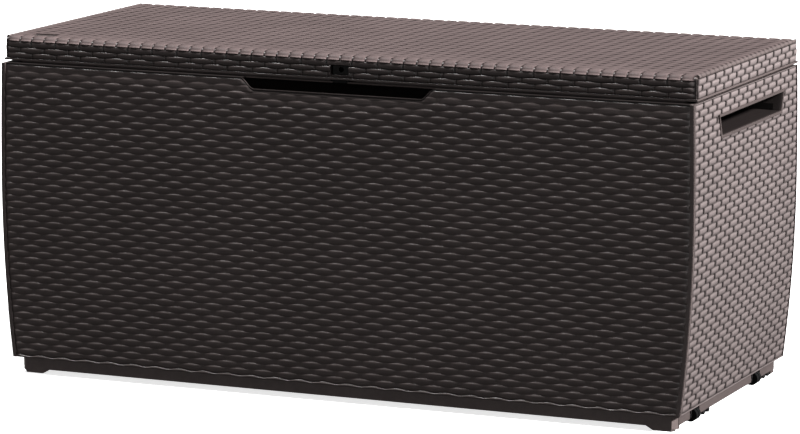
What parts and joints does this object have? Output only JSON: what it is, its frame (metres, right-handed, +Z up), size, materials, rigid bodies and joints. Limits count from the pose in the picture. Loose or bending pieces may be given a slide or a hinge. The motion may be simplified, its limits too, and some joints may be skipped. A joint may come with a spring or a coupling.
{
  "type": "deck storage box",
  "caption": "Long lidded resin garden chest with a weave texture, cupped end handles, a finger recess, a padlock hasp and small end rollers.",
  "frame": {"origin": "on the ground at the centre of the footprint", "axes": "+X runs along the front to the right, +Y from the front to the back, +Z up; the lid is closed at rest"},
  "size_m": [1.235, 0.535, 0.575],
  "materials": {
    "weave_resin": "satin moulded resin, dark espresso brown",
    "plinth_resin": "fine-grained moulded resin, dark espresso brown",
    "black_resin": "fine-grained black resin",
    "roller_black": "smooth black resin",
    "zinc_steel": "zinc-plated steel"
  },
  "bodies": {
    "chest": {"base_tray": "plinth_resin", "front_panel": "weave_resin", "back_panel": "weave_resin", "left_end_panel": "weave_resin", "right_end_panel": "weave_resin", "left_handle_cup": "weave_resin", "right_handle_cup": "weave_resin", "lock_plate": "black_resin", "lock_tab": "black_resin", "lock_screws": "zinc_steel", "left_hinge_bracket": "black_resin", "centre_hinge_bracket": "black_resin", "right_hinge_bracket": "black_resin", "left_hinge_pin": "zinc_steel", "centre_hinge_pin": "zinc_steel", "right_hinge_pin": "zinc_steel", "hinge_bracket_screws": "zinc_steel", "front_roller_axle": "zinc_steel", "rear_roller_axle": "zinc_steel", "front_roller_carrier": "black_resin", "rear_roller_carrier": "black_resin"},
    "lid": {"lid": "weave_resin", "lid_rim": "weave_resin", "lid_ribs": "weave_resin", "badge_plate": "weave_resin", "left_hinge_leaf": "black_resin", "centre_hinge_leaf": "black_resin", "right_hinge_leaf": "black_resin", "hinge_leaf_screws": "zinc_steel"},
    "front_roller": {"front_roller": "roller_black"},
    "rear_roller": {"rear_roller": "roller_black"}
  },
  "joints": [
    {"name": "lid_hinge", "type": "hinge", "parent": "chest", "child": "lid", "pos_m": [0, 0.254, 0.5495], "axis": [-1, 0, 0], "range_deg": [0, 105]},
    {"name": "front_roller_spin", "type": "hinge", "parent": "chest", "child": "front_roller", "pos_m": [0.583, -0.16, 0.011], "axis": [0, 1, 0], "continuous": true},
    {"name": "rear_roller_spin", "type": "hinge", "parent": "chest", "child": "rear_roller", "pos_m": [0.583, 0.153, 0.011], "axis": [0, 1, 0], "continuous": true}
  ]
}
